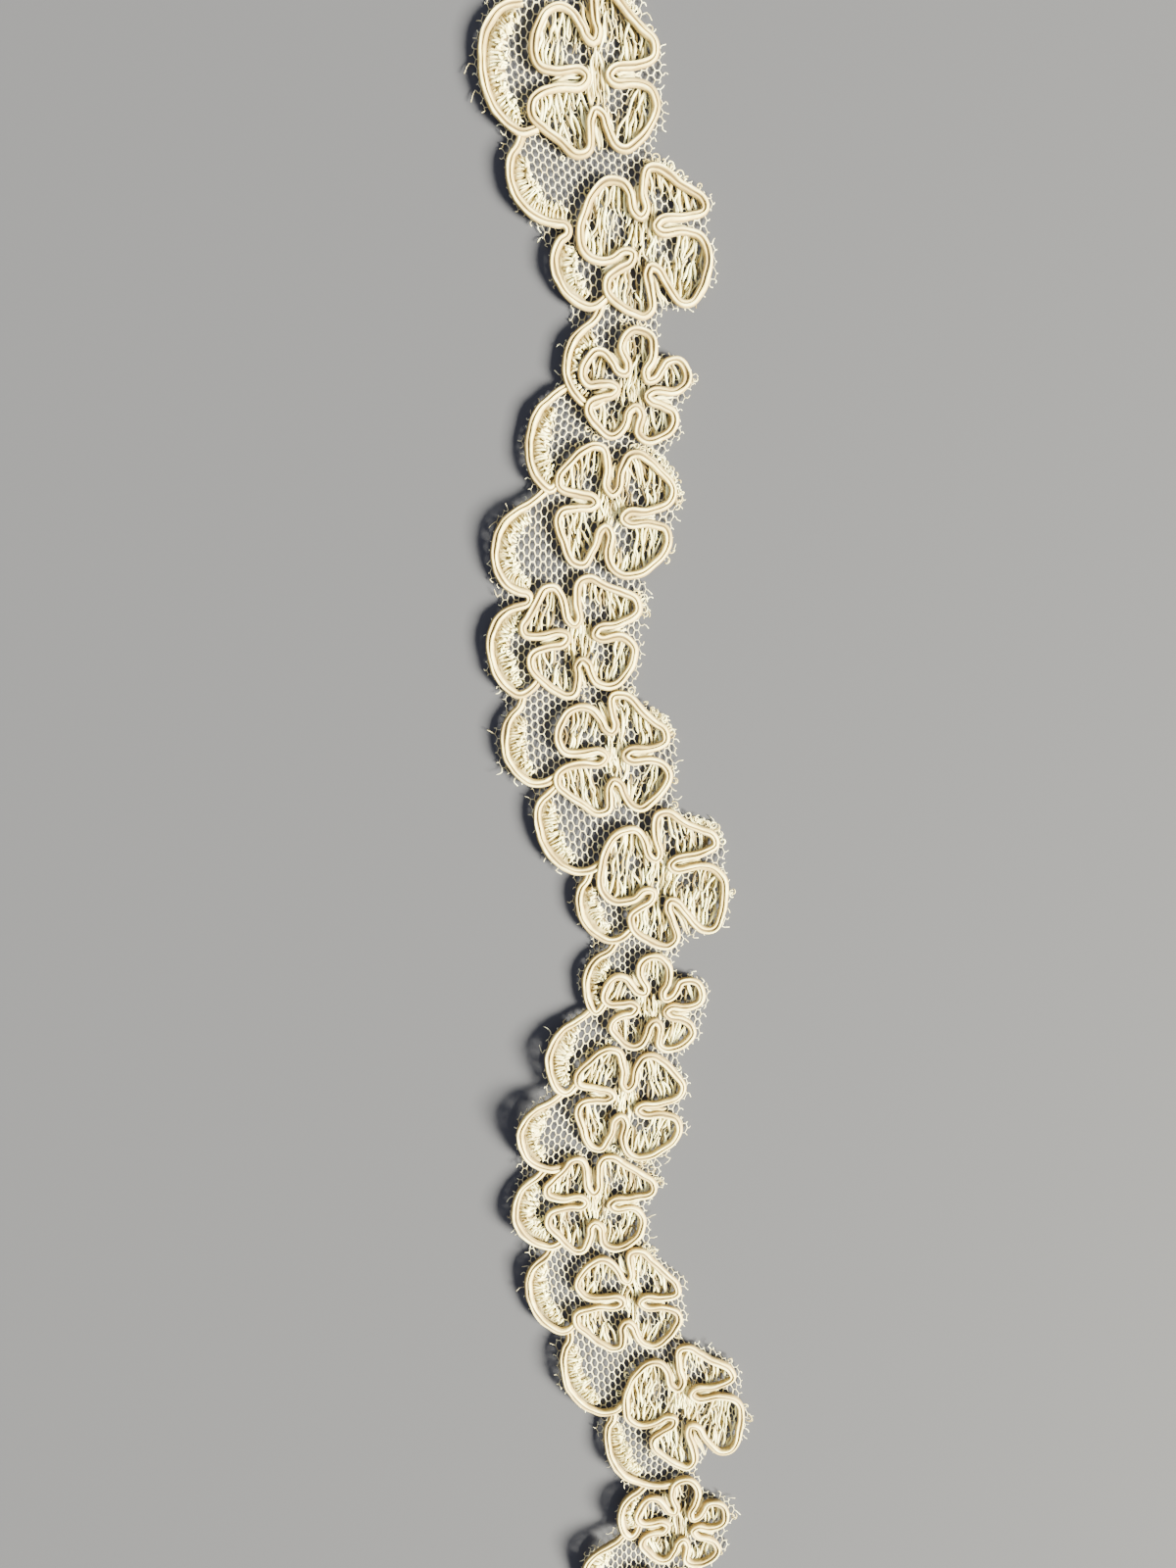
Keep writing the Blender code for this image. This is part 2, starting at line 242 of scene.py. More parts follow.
def slit_edge_turn(petal, reach, side):
    """The turn at which one side of a slit reaches the petals' edge, in degrees."""
    inner, along, left = slit_axes(petal)
    edge = inner + along * (reach - along @ inner) + side * (left * petal.slit_mouth / 2)
    return math.degrees(math.atan2(edge[1], edge[0]))


def corner_share(place):
    """How far a petal's corners pull its reach in: a superellipse from slit to slit."""
    return (1 - np.abs(2 * np.asarray(place) - 1) ** EDGE_SQUARENESS) ** (1 / EDGE_SQUARENESS)


def petal_edge(petal, start, span):
    """A petal's outer edge: a quadratic through its three reaches, times the corners' share."""
    reaches = np.array([petal.reach_first, petal.reach_middle, petal.reach_last])
    sweep = np.polyfit(REACH_PLACES, reaches / corner_share(REACH_PLACES), 2)
    steady = np.clip(EDGE_PLACES, REACH_PLACES[0] / 2, 1 - REACH_PLACES[0] / 2)
    return polar(start + span * EDGE_PLACES, np.polyval(sweep, steady) * corner_share(EDGE_PLACES))


def flower_places(flower, points):
    """Points of a flower's own frame, turned, sized and moved to its place on the strip."""
    angle = math.radians(flower.turn)
    turn = np.array([[math.cos(angle), math.sin(angle)], [-math.sin(angle), math.cos(angle)]])
    return points @ turn * [flower.size_across, flower.size_along] + [flower.x, flower.y]


def flower_outline(flower):
    """The middle line of a flower's cord: out round each petal and in along each slit."""
    petals = FLOWER_KINDS[flower.kind]
    points = []
    for index, petal in enumerate(petals):
        following = petals[(index + 1) % len(petals)]
        start = slit_edge_turn(petal, petal.reach_first, 1)
        span = (slit_edge_turn(following, petal.reach_last, -1) - start) % 360
        points += slit_points(petal, petal.reach_first)
        points += list(petal_edge(petal, start, span))
    return smooth_loop(flower_places(flower, np.array(points)))


def scallop_path(scallop):
    """The middle line of a scallop's cord: two quarter ellipses that meet at its belly."""
    angle = np.linspace(0, math.pi / 2, CURVE_SAMPLES * 3)
    sweep = np.stack([1 - np.cos(angle), np.sin(angle)], axis=1)
    top, belly, foot = np.reshape(scallop, (3, 2))
    upper, lower = belly + (top - belly) * sweep, belly + (foot - belly) * sweep
    return np.concatenate([upper[::-1], lower[1:]])


outlines = [flower_outline(flower) for flower in FLOWERS]
scallops = [scallop_path(scallop) for scallop in SCALLOPS]
all_outlines = np.concatenate(outlines)
HAIRPINS = (1, 5)
END_TRIM = 7
whole_tops = {0} | {index + 1 for index in HAIRPINS}
whole_feet = {len(scallops) - 1} | set(HAIRPINS)
trimmed = []
for index, course in enumerate(scallops):
    start = 0 if index in whole_tops else END_TRIM
    end = len(course) - (0 if index in whole_feet else END_TRIM)
    trimmed.append(course[start:end])
print("points on the flowers' courses:", len(all_outlines))

# %% [markdown]
# The strip's two edges follow the outermost cords with a narrow margin of net. Narrow bays
# between neighbouring petals are left filled, as whoever trimmed the lace left them.

# %% The strip's edges, and its lifts off the table
NET_MARGIN = 1.2
END_TOP, END_FOOT, END_RUN = 90.2, -128.0, 5.0
BAY_WIDTH = 3.0
EDGE_STEP = 0.25


def closed_bays(edge):
    """An edge whose bays narrower than the bay width are filled up to their mouths."""
    reach = round(BAY_WIDTH / EDGE_STEP / 2)
    padded = np.pad(edge, 2 * reach, mode="edge")
    windows = np.lib.stride_tricks.sliding_window_view(padded, 2 * reach + 1)
    return np.lib.stride_tricks.sliding_window_view(windows.max(axis=1), 2 * reach + 1).min(axis=1)


def strip_edges(courses):
    """The heights along the strip, and where its scalloped and its flower edge lie there."""
    along = np.arange(END_FOOT, END_TOP + EDGE_STEP / 2, EDGE_STEP)
    points = np.concatenate(courses)
    place = np.clip(np.round((points[:, 1] - END_FOOT) / EDGE_STEP).astype(int), 0, len(along) - 1)
    near, far = np.full(len(along), np.inf), np.full(len(along), -np.inf)
    np.minimum.at(near, place, points[:, 0])
    np.maximum.at(far, place, points[:, 0])
    run = round(END_RUN / EDGE_STEP)
    for end in (slice(0, run), slice(len(along) - run, None)):
        near[end], far[end] = near[end].min(), far[end].max()
    near, far = -closed_bays(-near) - NET_MARGIN, closed_bays(far) + NET_MARGIN
    kernel = np.ones(5) / 5
    near, far = (np.convolve(np.pad(edge, 2, mode="edge"), kernel, "valid") for edge in (near, far))
    return along, near, far


def lift_height(x, y):
    """How far the strip is off the table: a cosine hump for each lift."""
    height = np.zeros(np.broadcast(x, y).shape)
    for lift in LIFTS:
        across = np.clip(np.abs(x - lift.x) / lift.half_x, 0, 1)
        along = np.clip(np.abs(y - lift.y) / lift.half_y, 0, 1)
        hump = np.cos(across * math.pi / 2) ** 2 * np.cos(along * math.pi / 2) ** 2
        height = np.maximum(height, lift.height * hump)
    return height


along_strip, near_edge, far_edge = strip_edges(outlines + scallops)
ORIGIN = np.array([(near_edge.min() + far_edge.max()) / 2, (END_TOP + END_FOOT) / 2, 0.0])
ground_low, ground_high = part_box("lace_ground")
print("edges' width in mm:", round(far_edge.max() - near_edge.min(), 2),
      "and the CAD's:", round((ground_high[0] - ground_low[0]) / MM, 2))

# %% [markdown]
# ## Making meshes
#
# Every thread here is a small closed profile carried along a path. Thousands of them are
# worked out at once, as one array of paths, in one mesh. Each point carries three numbers for
# the materials: how far across its thread it is, how far along, and the thread's tone.

# %% Helpers for meshes
rng = np.random.default_rng(26)


def new_piece(name, points, faces, material, slot, **values):
    """One mesh object at the origin, with its place in its mesh and smooth shading."""
    mesh = bpy.data.meshes.new(name)
    mesh.vertices.add(len(points))
    mesh.vertices.foreach_set("co", ((points - ORIGIN) * MM).ravel())
    corners = np.concatenate([np.ravel(group) for group in faces])
    sizes = np.concatenate([np.full(len(group), group.shape[1]) for group in faces])
    mesh.loops.add(len(corners))
    mesh.loops.foreach_set("vertex_index", corners)
    mesh.polygons.add(len(sizes))
    mesh.polygons.foreach_set("loop_start", np.cumsum(sizes) - sizes)
    mesh.update(calc_edges=True)
    mesh.shade_smooth()
    for label, value in values.items():
        mesh.attributes.new(label, "FLOAT", "POINT").data.foreach_set("value", np.ravel(value))
    mesh.materials.append(material)
    piece = bpy.data.objects.new(name, mesh)
    bpy.context.scene.collection.objects.link(piece)
    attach(piece, "root")
    print(name, "has", int((sizes - 2).sum()), "triangles")
    return piece


def wander(rows, samples, knots):
    """Smooth random rows from -1 to 1: values at even places, joined by cosine steps."""
    value = rng.uniform(-1, 1, (rows, knots + 1))
    place = np.linspace(0, knots, samples)
    low = np.minimum(place.astype(int), knots - 1)
    share = (1 - np.cos((place - low) * np.pi)) / 2
    return value[:, low] * (1 - share) + value[:, low + 1] * share


def side_vectors(paths, closed=False):
    """The level direction to each path's left at each of its points."""
    if closed:
        run = np.roll(paths, -1, axis=1) - np.roll(paths, 1, axis=1)
    else:
        run = np.gradient(paths, axis=1)
    side = np.stack([-run[..., 1], run[..., 0], np.zeros(run.shape[:2])], axis=-1)
    return side / np.maximum(np.linalg.norm(side, axis=-1, keepdims=True), 1e-9)


def carried(paths, section, half_width, half_height, closed=False):
    """Points and faces of threads: at each path point, the section's first number times the
    half width goes to the side and its second number times the half height goes up."""
    count, steps, turns = len(paths), paths.shape[1], section.shape[-2]
    side = side_vectors(paths, closed)[:, :, None, :]
    points = paths[:, :, None, :] + side * (section[..., 0] * half_width[..., None])[..., None]
    points[..., 2] += section[..., 1] * half_height[..., None]
    index = np.arange(count * steps * turns).reshape(count, steps, turns)
    here, ahead = (index, np.roll(index, -1, axis=1)) if closed else (index[:, :-1], index[:, 1:])
    quads = np.stack([here, np.roll(here, -1, axis=2), np.roll(ahead, -1, axis=2), ahead], axis=-1)
    faces = [quads.reshape(-1, 4)]
    if not closed:
        faces += [index[:, 0, ::-1], index[:, -1]]
    return points.reshape(-1, 3), faces


def length_along(paths):
    """How far along its path each point is, in millimetres."""
    step = np.linalg.norm(np.diff(paths, axis=1), axis=-1)
    return np.concatenate([np.zeros((len(paths), 1)), np.cumsum(step, axis=1)], axis=1)


def evenly(path, step, closed=False):
    """The same path in even steps of about this length."""
    if closed:
        path = np.vstack([path, path[:1]])
    reach = np.concatenate([[0.0], np.cumsum(np.linalg.norm(np.diff(path, axis=0), axis=1))])
    places = np.linspace(0, reach[-1], max(round(reach[-1] / step), 4) + 1)
    if closed:
        places = places[:-1]
    return np.stack([np.interp(places, reach, column) for column in path.T], axis=1)


# %% [markdown]
# ## Materials
#
# All of it is bleached cotton, aged to cream. The cord is plied and smooth; its bright crest is a
# painted highlight and its tan flanks are painted shade. The filling is soft and loosely spun. The
# net's thread is fine, hard twisted and a little cooler. Cotton reflects little, so each is rough
# with some sheen, and they differ in colour and in the fibres' relief.

# %% Helpers for materials
def linear(code):
    """An sRGB hex colour as the linear numbers that Blender uses."""
    srgb = np.array([int(code[i:i + 2], 16) for i in (0, 2, 4)]) / 255
    return (*np.where(srgb <= 0.04045, srgb / 12.92, ((srgb + 0.055) / 1.055) ** 2.4), 1.0)


def add_node(tree, kind, inputs=(), **settings):
    """Adds a node: settings are its own, and inputs are values or sockets by input name."""
    node = tree.nodes.new(kind)
    for label, value in settings.items():
        setattr(node, label, value)
    for label, value in dict(inputs).items():
        if isinstance(value, bpy.types.NodeSocket):
            tree.links.new(value, node.inputs[label])
        else:
            node.inputs[label].default_value = value
    return node


def set_ramp(ramp, stops):
    """Gives a colour ramp its places and hex colours."""
    while len(ramp.elements) < len(stops):
        ramp.elements.new(1.0)
    for element, (place, code) in zip(ramp.elements, stops):
        element.position = place
        element.color = linear(code)


def new_material(name, inputs):
    """A new material, its node tree and its shader, which has these values on its inputs."""
    material = bpy.data.materials.new(name)
    material.use_nodes = True
    shader = material.node_tree.nodes["Principled BSDF"]
    for label, value in inputs.items():
        shader.inputs[label].default_value = value
    return material, material.node_tree, shader


def finish_cotton(tree, shader, base, pattern, stain, share, fibres, relief, depth):
    """Multiplies the base colour by a stain where the pattern is low, and raises the fibres."""
    shade = add_node(tree, "ShaderNodeValToRGB", {"Fac": pattern})
    set_ramp(shade.color_ramp, [stain, (0.56, "FFFFFF")])
    colour = add_node(tree, "ShaderNodeMix", data_type="RGBA", blend_type="MULTIPLY",
                      inputs={0: share, 6: base, 7: shade.outputs["Color"]})
    bump = add_node(tree, "ShaderNodeBump", {"Height": fibres, "Strength": relief, "Distance": depth})
    tree.links.new(colour.outputs[2], shader.inputs["Base Color"])
    tree.links.new(bump.outputs["Normal"], shader.inputs["Normal"])


# %% [markdown]
# The cord's colour follows its profile and paints light into it: a painted highlight of cream on
# its strands' crests, painted shade of brown in the groove between them and of tan on the flanks
# and underneath. Its fibres run along it, about 0.03 mm apart and drawn at 0.15 mm to show, and a
# slow blotch keeps long runs from looking drawn with a ruler.

# %% Plied cotton cord
COTTON = {"Sheen Roughness": 0.5, "Specular IOR Level": 0.3}
# Painted light: the dark stops are painted shade for the cord's groove and flanks, the light ones a painted
# highlight for its crests.
CORD_TONES_AND_PAINTED_LIGHT = [(0.0, "42361C"), (0.3, "816E43"), (0.6, "B8A261"), (0.85, "EDDF98"), (1.0, "FFFFC8")]


def cord_material():
    """A painted highlight of cream on the crests and painted shade of tan on the flanks, with streaks of
    fibre along the cord.
    """
    inputs = COTTON | {"Roughness": 0.66, "Sheen Weight": 0.1}
    material, tree, shader = new_material("plied_cotton_cord", inputs)
    crest, across, along = (add_node(tree, "ShaderNodeAttribute", attribute_name=label).outputs["Fac"]
                            for label in ("crest", "across", "along"))
    # The crest attribute carries painted light: this ramp paints the highlight and the shade into the base
    # colour.
    ramp = add_node(tree, "ShaderNodeValToRGB", {"Fac": crest})
    set_ramp(ramp.color_ramp, CORD_TONES_AND_PAINTED_LIGHT)
    stretched = add_node(tree, "ShaderNodeMath", {0: across, 1: 7.0}, operation="MULTIPLY").outputs[0]
    place = add_node(tree, "ShaderNodeCombineXYZ", {"X": along, "Y": stretched}).outputs["Vector"]
    noise = add_node(tree, "ShaderNodeTexNoise", {"Vector": place, "Scale": 0.9, "Detail": 4.0})
    streak = noise.outputs["Fac"]
    finish_cotton(tree, shader, ramp.outputs["Color"], streak, (0.36, "B29C5C"), 0.55, streak, 0.5, 0.0001)
    return material


cord_cotton = cord_material()
print(cord_cotton.name)

# %% [markdown]
# The filling threads are barely twisted, so each shows its own tone and fine lengthwise
# fibres, about 0.05 mm apart and drawn at 0.12 mm to show; the dark end of the filling's ramp
# is painted shade. The net shares the recipe with a cooler, more even colour, whose darkest stop
# is painted shade on its threads' sides.

# %% Soft filling cotton and net thread
# The filling's dark stops are painted shade, for its lower layer and the ribbons' edges.
FILLING_TONES_AND_PAINTED_SHADE = [(0.0, "3E3422"), (0.3, "7A6A44"), (0.55, "CDBD7E"), (1.0, "FFFFCA")]
# The net's darkest stop is painted shade, for the rims of its holes.
NET_TONES_AND_PAINTED_SHADE = [(0.0, "645C42"), (0.6, "DED5B0"), (1.0, "FFFED8")]


def thread_material(name, tones, fibre_relief):
    """A tone for each thread, from a ramp, with blotches and lengthwise fibres."""
    material, tree, shader = new_material(name, COTTON | {"Roughness": 0.8, "Sheen Weight": 0.15})
    tone, across, along = (add_node(tree, "ShaderNodeAttribute", attribute_name=label).outputs["Fac"]
                           for label in ("tone", "across", "along"))
    ramp = add_node(tree, "ShaderNodeValToRGB", {"Fac": tone})
    set_ramp(ramp.color_ramp, tones)
    where = add_node(tree, "ShaderNodeTexCoord").outputs["Object"]
    blotch = add_node(tree, "ShaderNodeTexNoise", {"Vector": where, "Scale": 900.0, "Detail": 3.0})
    stretched = add_node(tree, "ShaderNodeMath", {0: across, 1: 8.0}, operation="MULTIPLY").outputs[0]
    place = add_node(tree, "ShaderNodeCombineXYZ", {"X": along, "Y": stretched, "Z": tone}).outputs["Vector"]
    fibres = add_node(tree, "ShaderNodeTexNoise", {"Vector": place, "Scale": 1.0, "Detail": 2.0})
    finish_cotton(tree, shader, ramp.outputs["Color"], blotch.outputs["Fac"], (0.34, "BAA66C"), 0.6,
                  fibres.outputs["Fac"], fibre_relief, 0.00008)
    return material


filling_cotton = thread_material("soft_filling_cotton", FILLING_TONES_AND_PAINTED_SHADE, 0.6)
net_cotton = thread_material("fine_net_cotton", NET_TONES_AND_PAINTED_SHADE, 0.3)
print(filling_cotton.name, net_cotton.name)

# %% [markdown]
# ## The net
#
# The ground is bobbin net. Its holes are six-sided and stand in columns along the strip, and
# every other column is half a hole higher. The cells come from a lattice of whole numbers,
# which one function bends to the strip: the net is stretched longer towards the foot and
# follows half of the strip's bends. Each cell is a ring of slopes, from the threads' crest
# down to its own hole, above and below, so neighbours share crests and the threads are closed.

# %% The net's lattice
NET_COLUMN = 0.7
NET_ROW = 1.19
NET_HEIGHT = 0.36
NET_THREAD = 0.14
BAR_SHARE = 0.32
LATTICE_COLUMNS = np.arange(-60, 70)
LATTICE_ROWS = np.arange(-130, 100)
MIDDLE_REACH = 60
TORN_IN = np.array([[0.7], [0.45]])

window = np.ones(2 * MIDDLE_REACH + 1) / (2 * MIDDLE_REACH + 1)
strip_middle = np.convolve(np.pad((near_edge + far_edge) / 2, MIDDLE_REACH, mode="edge"), window, "valid")


def net_place(a, b):
    """Lattice numbers to millimetres: rows grow longer down the strip, in slow waves, and
    columns follow half of the strip's middle line, with a slow sideways sway."""
    y = NET_ROW * b - 0.0007 * b**2 + 0.75 * np.sin(NET_ROW * b / 5.3 + 0.9)
    x = NET_COLUMN * a + 0.5 * np.interp(y, along_strip, strip_middle) + 0.5 * np.sin(y / 7.0 + a / 9.0)
    return x, y


def surface_height(x, y):
    """The net's height: its rest height, the strip's lifts and a slight ripple."""
    height = NET_HEIGHT + lift_height(x, y) + 0.07 * np.sin(x / 2.3 + y / 3.1)
    return height + 0.05 * np.sin(x / 1.7 - y / 2.2)


column, row = [grid.ravel() for grid in np.meshgrid(LATTICE_COLUMNS, LATTICE_ROWS)]
cell_a, cell_b = column, row + 0.5 * (column % 2)
cell_x, cell_y = net_place(cell_a, cell_b)
ragged = rng.uniform(-0.3, 0.2, len(cell_x))
torn = 0.45 * wander(2, len(along_strip), 75) - TORN_IN
inside = (cell_x > np.interp(cell_y, along_strip, near_edge - torn[0]) - ragged)
inside &= (cell_x < np.interp(cell_y, along_strip, far_edge + torn[1]) + ragged)
inside &= (cell_y > END_FOOT + NET_ROW / 2) & (cell_y < END_TOP - NET_ROW / 2)
cell_a, cell_b = cell_a[inside], cell_b[inside]
print(len(cell_a), "cells of net")

# %% Its threads
CORNERS = np.array([(1 - BAR_SHARE, 0), (BAR_SHARE, 0.5), (-BAR_SHARE, 0.5),
                    (BAR_SHARE - 1, 0), (-BAR_SHARE, -0.5), (BAR_SHARE, -0.5)])
corner_a, corner_b = cell_a[:, None] + CORNERS[:, 0], cell_b[:, None] + CORNERS[:, 1]
keys = np.stack([np.round(corner_a * 100), np.round(corner_b * 2)], axis=-1).reshape(-1, 2).astype(int)
shared, crest = np.unique(keys, axis=0, return_inverse=True)
crest = crest.reshape(-1, 6)
crest_x, crest_y = net_place(shared[:, 0] / 100, shared[:, 1] / 2)
crest_z = surface_height(crest_x, crest_y)

middle_x, middle_y = net_place(cell_a, cell_b)
shrink_x, shrink_y = 1 - NET_THREAD / NET_COLUMN, 1 - NET_THREAD / NET_ROW
ease = rng.uniform(0.93, 1.03, (len(cell_a), 1))
hole_x = middle_x[:, None] + (crest_x[crest] - middle_x[:, None]) * shrink_x * ease
hole_y = middle_y[:, None] + (crest_y[crest] - middle_y[:, None]) * shrink_y * ease
hole_z = surface_height(hole_x, hole_y)

count = len(crest_x)
over = np.stack([crest_x, crest_y, crest_z + NET_THREAD / 2], axis=1)
under = np.stack([crest_x, crest_y, crest_z - NET_THREAD / 2], axis=1)
rim = np.stack([hole_x, hole_y, hole_z], axis=-1).reshape(-1, 3)
hole = 2 * count + np.arange(len(rim)).reshape(-1, 6)
crest_next, hole_next = np.roll(crest, -1, axis=1), np.roll(hole, -1, axis=1)
upper_slopes = np.stack([crest, crest_next, hole_next, hole], axis=-1).reshape(-1, 4)
lower_slopes = np.stack([hole, hole_next, crest_next + count, crest + count], axis=-1).reshape(-1, 4)
sides = np.stack([crest, crest_next], axis=-1).reshape(-1, 2)
_, side_id, uses = np.unique(np.sort(sides, axis=1), axis=0, return_inverse=True, return_counts=True)
cut_sides = sides[uses[side_id.ravel()] == 1]
start, end = cut_sides.T
walls = np.stack([start, start + count, end + count, end], axis=-1)

net_points = np.concatenate([over, under, rim])
net_tone = rng.uniform(0.6, 1, count)
# Crests take a random tone; the hole rims take the darkest, as painted shade on the threads' sides.
tone = np.concatenate([net_tone, net_tone, np.full(len(rim), 0.0)])
net = new_piece("net", net_points, [upper_slopes, lower_slopes, walls], net_cotton, "net",
                tone=tone, across=np.zeros(len(tone)), along=net_points[:, 1])

# %% [markdown]
# Where the net was cut, each cut thread leaves a stub. A stub starts at a corner that only one
# kept cell uses, points away from that cell and curls. Some are long, where a whole run of
# thread came loose.

# %% Cut threads along the edges
ROUND_THREAD = polar(np.arange(6) * 60 + 30, np.ones(6))
FINE_THREAD = polar(np.arange(4) * 90, np.ones(4))
STUB_POINTS = 5


def fine_ends(name, paths, thickness, thinning, darkest, material):
    """Fine threads along paths as one piece: each thins evenly to its tip by a share."""
    share = np.linspace(0, 1, paths.shape[1])
    thin = thickness * (1 - thinning * share) * np.ones((len(paths), 1))
    points, faces = carried(paths, FINE_THREAD, thin, thin)
    tone = np.repeat(rng.uniform(darkest, 1, len(paths)), len(share) * len(FINE_THREAD))
    return new_piece(name, points, faces, material, "net",
                     tone=tone, across=np.zeros(len(tone)), along=points[:, 1])


owners = np.bincount(crest.ravel(), minlength=count)
loose = owners[crest] == 1
root = np.stack([crest_x[crest], crest_y[crest]], axis=-1)[loose]
away = root - np.stack([middle_x, middle_y], axis=1)[np.nonzero(loose)[0]]
away /= np.linalg.norm(away, axis=1, keepdims=True)
on_edge = (root[:, 1] > END_FOOT + 2) & (root[:, 1] < END_TOP - 2)
root, away = root[on_edge], away[on_edge]
reach = rng.gamma(2.0, 0.19, len(root)).clip(0.12, 1.2)
share = np.linspace(0, 1, STUB_POINTS)
curl = wander(len(root), STUB_POINTS, 2) * 0.9 * share
turned = np.stack([-away[:, 1], away[:, 0]], axis=1)
course = away[:, None] * share[:, None] + turned[:, None] * curl[..., None]
stub = root[:, None] + course * reach[:, None, None]
drift = rng.uniform(-0.15, 0.4, (len(root), 1)) * share
stub_paths = np.dstack([stub, surface_height(stub[..., 0], stub[..., 1]) + drift * reach[:, None]])
cut_ends = fine_ends("cut_net_ends", stub_paths, 0.065, 0.4, 0.5, net_cotton)

# %% [markdown]
# ## The filling threads
#
# Each petal is filled with soft threads that lie nearly along the strip and fan a little. Even
# lines are drawn across the petal's outline in a leaning frame, and each stretch inside it is
# cut into short strokes that turn a little, swell in the middle and waver. A lower layer, dark
# brown with painted shade, shows between the bright ones. Near the flower's middle most petals
# have a patch that was left open, so threads there are left out.

# %% Lines across a petal
FILL_PITCH = 0.5
FILL_HEIGHT = 0.62
STROKE = 2.7
SHORTEST_RUN = 0.9
STROKE_OVERLAP = 0.15
THREAD_POINTS = 7
BUNDLE = 12
BUNDLE_ROOM = 4.2


def petal_loops(flower, outline):
    """One closed outline for each petal: from one slit's inner end to the next one's."""
    length = POINTS_PER_PETAL * CURVE_SAMPLES
    centre = np.array([[flower.x, flower.y]])
    starts = np.arange(len(FLOWER_KINDS[flower.kind])) * length + 2 * CURVE_SAMPLES
    return [np.vstack([outline.take(np.arange(start, start + length + 1), axis=0, mode="wrap"), centre])
            for start in starts]


def runs_inside(loop, lean, spread, shift):
    """The strokes on even leaning lines inside a closed outline. A line's points have the
    sideways number u * (1 + spread * v) at the height v, in a frame that leans by an angle."""
    middle = loop.mean(axis=0)
    frame_axes = np.array([[math.cos(lean), -math.sin(lean)], [math.sin(lean), math.cos(lean)]])
    u, v = ((loop - middle) @ frame_axes).T
    u = u / (1 + spread * v)
    u_next, v_next = np.roll(u, -1), np.roll(v, -1)
    ends = []
    for line in np.arange(u.min() + FILL_PITCH * shift, u.max(), FILL_PITCH):
        crossed = (u <= line) != (u_next <= line)
        share = (line - u[crossed]) / (u_next[crossed] - u[crossed])
        heights = np.sort(v[crossed] + share * (v_next[crossed] - v[crossed]))
        for low, high in heights.reshape(-1, 2):
            if high - low < SHORTEST_RUN:
                continue
            strokes = max(1, round((high - low) / STROKE))
            cuts = np.linspace(low, high, strokes + 1) + np.pad(rng.uniform(-0.8, 0.8, strokes - 1), 1)
            at = np.stack([cuts[:-1] - STROKE_OVERLAP, cuts[1:] + STROKE_OVERLAP], axis=1)
            turn = rng.normal(0, 0.15, (strokes, 1)) * (at - at.mean(axis=1, keepdims=True))
            side = line * (1 + spread * at) + turn + rng.normal(0, 0.06, (strokes, 1))
            ends.append(np.stack([side, at], axis=-1) @ frame_axes.T + middle)
    return np.concatenate(ends)


# %% The strokes, and the threads inside the slits and at a flower's middle
class Threads(NamedTuple):
    """A set of straight courses with what their threads share."""
    ends: np.ndarray
    height: float
    girth: float
    tone_low: float
    tone_high: float


class Layer(NamedTuple):
    """A layer of a petal's filling: its first line's shift, its threads' height, girth and
    tones, and the share of them that is kept."""
    shift: float
    height: float
    girth: float
    tone_low: float
    tone_high: float
    kept: float


# The lower layer's dark brown tones are painted shade, where it lies under and between the bright threads.
LAYERS = (Layer(0.9, -0.16, 0.16, 0.1, 0.45, 0.8), Layer(0.4, 0.08, 0.165, 0.5, 1.0, 0.92))
thread_sets = []
for flower, outline in zip(FLOWERS, outlines):
    centre = np.array([flower.x, flower.y])
    for petal, loop in zip(FLOWER_KINDS[flower.kind], petal_loops(flower, outline)):
        heading = loop.mean(axis=0) - centre
        lean = 0.14 * math.sin(2 * math.atan2(heading[1], heading[0])) + rng.uniform(-0.08, 0.08)
        spread = rng.uniform(-0.04, 0.04)
        patch = centre + heading * rng.uniform(0.5, 0.75)
        patch_size = [rng.uniform(0.9, 1.7), rng.uniform(0.8, 1.3)]
        for layer in LAYERS:
            ends = runs_inside(loop, lean, spread, layer.shift)
            clear = np.linalg.norm((ends.mean(axis=1) - patch) / patch_size, axis=1) > 1
            ends = ends[clear & (rng.uniform(0, 1, len(ends)) < layer.kept)]
            thread_sets.append(Threads(ends, layer.height, layer.girth, layer.tone_low, layer.tone_high))
        inner, along, left = slit_axes(petal)
        beside = left * np.array([[-0.2], [0.0], [0.2]])
        slit_length = SLIT_MOUTH * petal.reach_first
        slit = np.stack([inner + along * 0.7 + beside * 0.7,
                         inner + along * slit_length * 0.8 + beside * 1.3], axis=1)
        thread_sets.append(Threads(flower_places(flower, slit), 0.16, 0.2, 0.45, 0.9))
    half_width = rng.uniform(1.0, 1.7)
    half_height = BUNDLE_ROOM - 1.5 * half_width
    across = np.linspace(-half_width, half_width, BUNDLE) + rng.normal(0, 0.07, BUNDLE)
    top = np.stack([across, rng.uniform(0.4, 1, BUNDLE) * half_height], axis=1)
    foot = np.stack([across + rng.normal(0, 0.3, BUNDLE), -rng.uniform(0.4, 1, BUNDLE) * half_height], axis=1)
    bundle = np.stack([top, foot], axis=1)
    thread_sets.append(Threads(bundle + centre, 0.12, 0.15, 0.15, 1.0))

print(len(thread_sets), "sets of threads")


# %% The threads along those courses
def for_each(label):
    """What every thread has from its set, as one column."""
    return np.concatenate([np.full((len(group.ends), 1), getattr(group, label)) for group in thread_sets])


def thread_piece(name, paths, half_width, half_height, tone):
    """Round threads of filling cotton along paths, as one piece with a tone for each thread."""
    points, faces = carried(paths, ROUND_THREAD, half_width, half_height)
    along = np.repeat(length_along(paths)[..., None], len(ROUND_THREAD), axis=2)
    across = np.broadcast_to(ROUND_THREAD[:, 0] * 0.2, along.shape)
    tone = np.broadcast_to(tone[..., None], along.shape)
    return new_piece(name, points, faces, filling_cotton, "net", tone=tone, across=across, along=along)


